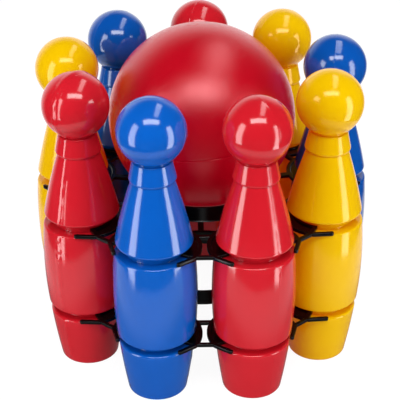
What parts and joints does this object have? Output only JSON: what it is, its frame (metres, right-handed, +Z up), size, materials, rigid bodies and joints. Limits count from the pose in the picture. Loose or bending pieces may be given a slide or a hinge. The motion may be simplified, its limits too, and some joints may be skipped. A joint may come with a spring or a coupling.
{
  "type": "ninepins set",
  "caption": "Plastic skittles held upright in a ring by spring-clip plates, with a large ball seated in the middle; the pins pull outwards and the ball lifts out.",
  "frame": {"origin": "on the floor, under the middle of the set's outer box", "axes": "+Z up, -Y towards the front gap between a blue and a red pin, +X to the right"},
  "size_m": [0.3186, 0.3148, 0.2973],
  "materials": {
    "pin_blue": "gloss",
    "pin_red": "gloss",
    "pin_yellow": "gloss",
    "ball_red": "satin",
    "carrier_black": "satin"
  },
  "bodies": {
    "carrier": {"upper_clip_plate": "carrier_black", "lower_clip_plate": "carrier_black"},
    "front_left_pin": {"blue_pin_front_left": "pin_blue"},
    "front_right_pin": {"red_pin_front_right": "pin_red"},
    "left_front_pin": {"red_pin_left_front": "pin_red"},
    "right_front_pin": {"yellow_pin_right_front": "pin_yellow"},
    "left_pin": {"yellow_pin_left": "pin_yellow"},
    "right_pin": {"blue_pin_right": "pin_blue"},
    "back_left_pin": {"blue_pin_back_left": "pin_blue"},
    "back_right_pin": {"yellow_pin_back_right": "pin_yellow"},
    "back_pin": {"red_pin_back": "pin_red"},
    "lift_out_ball": {"ball": "ball_red"}
  },
  "joints": [
    {"name": "front_left_pin_pull_out", "type": "slide", "parent": "carrier", "child": "front_left_pin", "axis": [-0.342, -0.9397, 0], "range_m": [0, 0.08]},
    {"name": "front_right_pin_pull_out", "type": "slide", "parent": "carrier", "child": "front_right_pin", "axis": [0.342, -0.9397, 0], "range_m": [0, 0.08]},
    {"name": "left_front_pin_pull_out", "type": "slide", "parent": "carrier", "child": "left_front_pin", "axis": [-0.866, -0.5, 0], "range_m": [0, 0.08]},
    {"name": "right_front_pin_pull_out", "type": "slide", "parent": "carrier", "child": "right_front_pin", "axis": [0.866, -0.5, 0], "range_m": [0, 0.08]},
    {"name": "left_pin_pull_out", "type": "slide", "parent": "carrier", "child": "left_pin", "axis": [-0.9848, 0.1736, 0], "range_m": [0, 0.08]},
    {"name": "right_pin_pull_out", "type": "slide", "parent": "carrier", "child": "right_pin", "axis": [0.9848, 0.1736, 0], "range_m": [0, 0.08]},
    {"name": "back_left_pin_pull_out", "type": "slide", "parent": "carrier", "child": "back_left_pin", "axis": [-0.6428, 0.766, 0], "range_m": [0, 0.08]},
    {"name": "back_right_pin_pull_out", "type": "slide", "parent": "carrier", "child": "back_right_pin", "axis": [0.6428, 0.766, 0], "range_m": [0, 0.08]},
    {"name": "back_pin_pull_out", "type": "slide", "parent": "carrier", "child": "back_pin", "axis": [0, 1, 0], "range_m": [0, 0.08]},
    {"name": "ball_lift_out", "type": "slide", "parent": "carrier", "child": "lift_out_ball", "axis": [0, 0, 1], "range_m": [0, 0.17]}
  ]
}
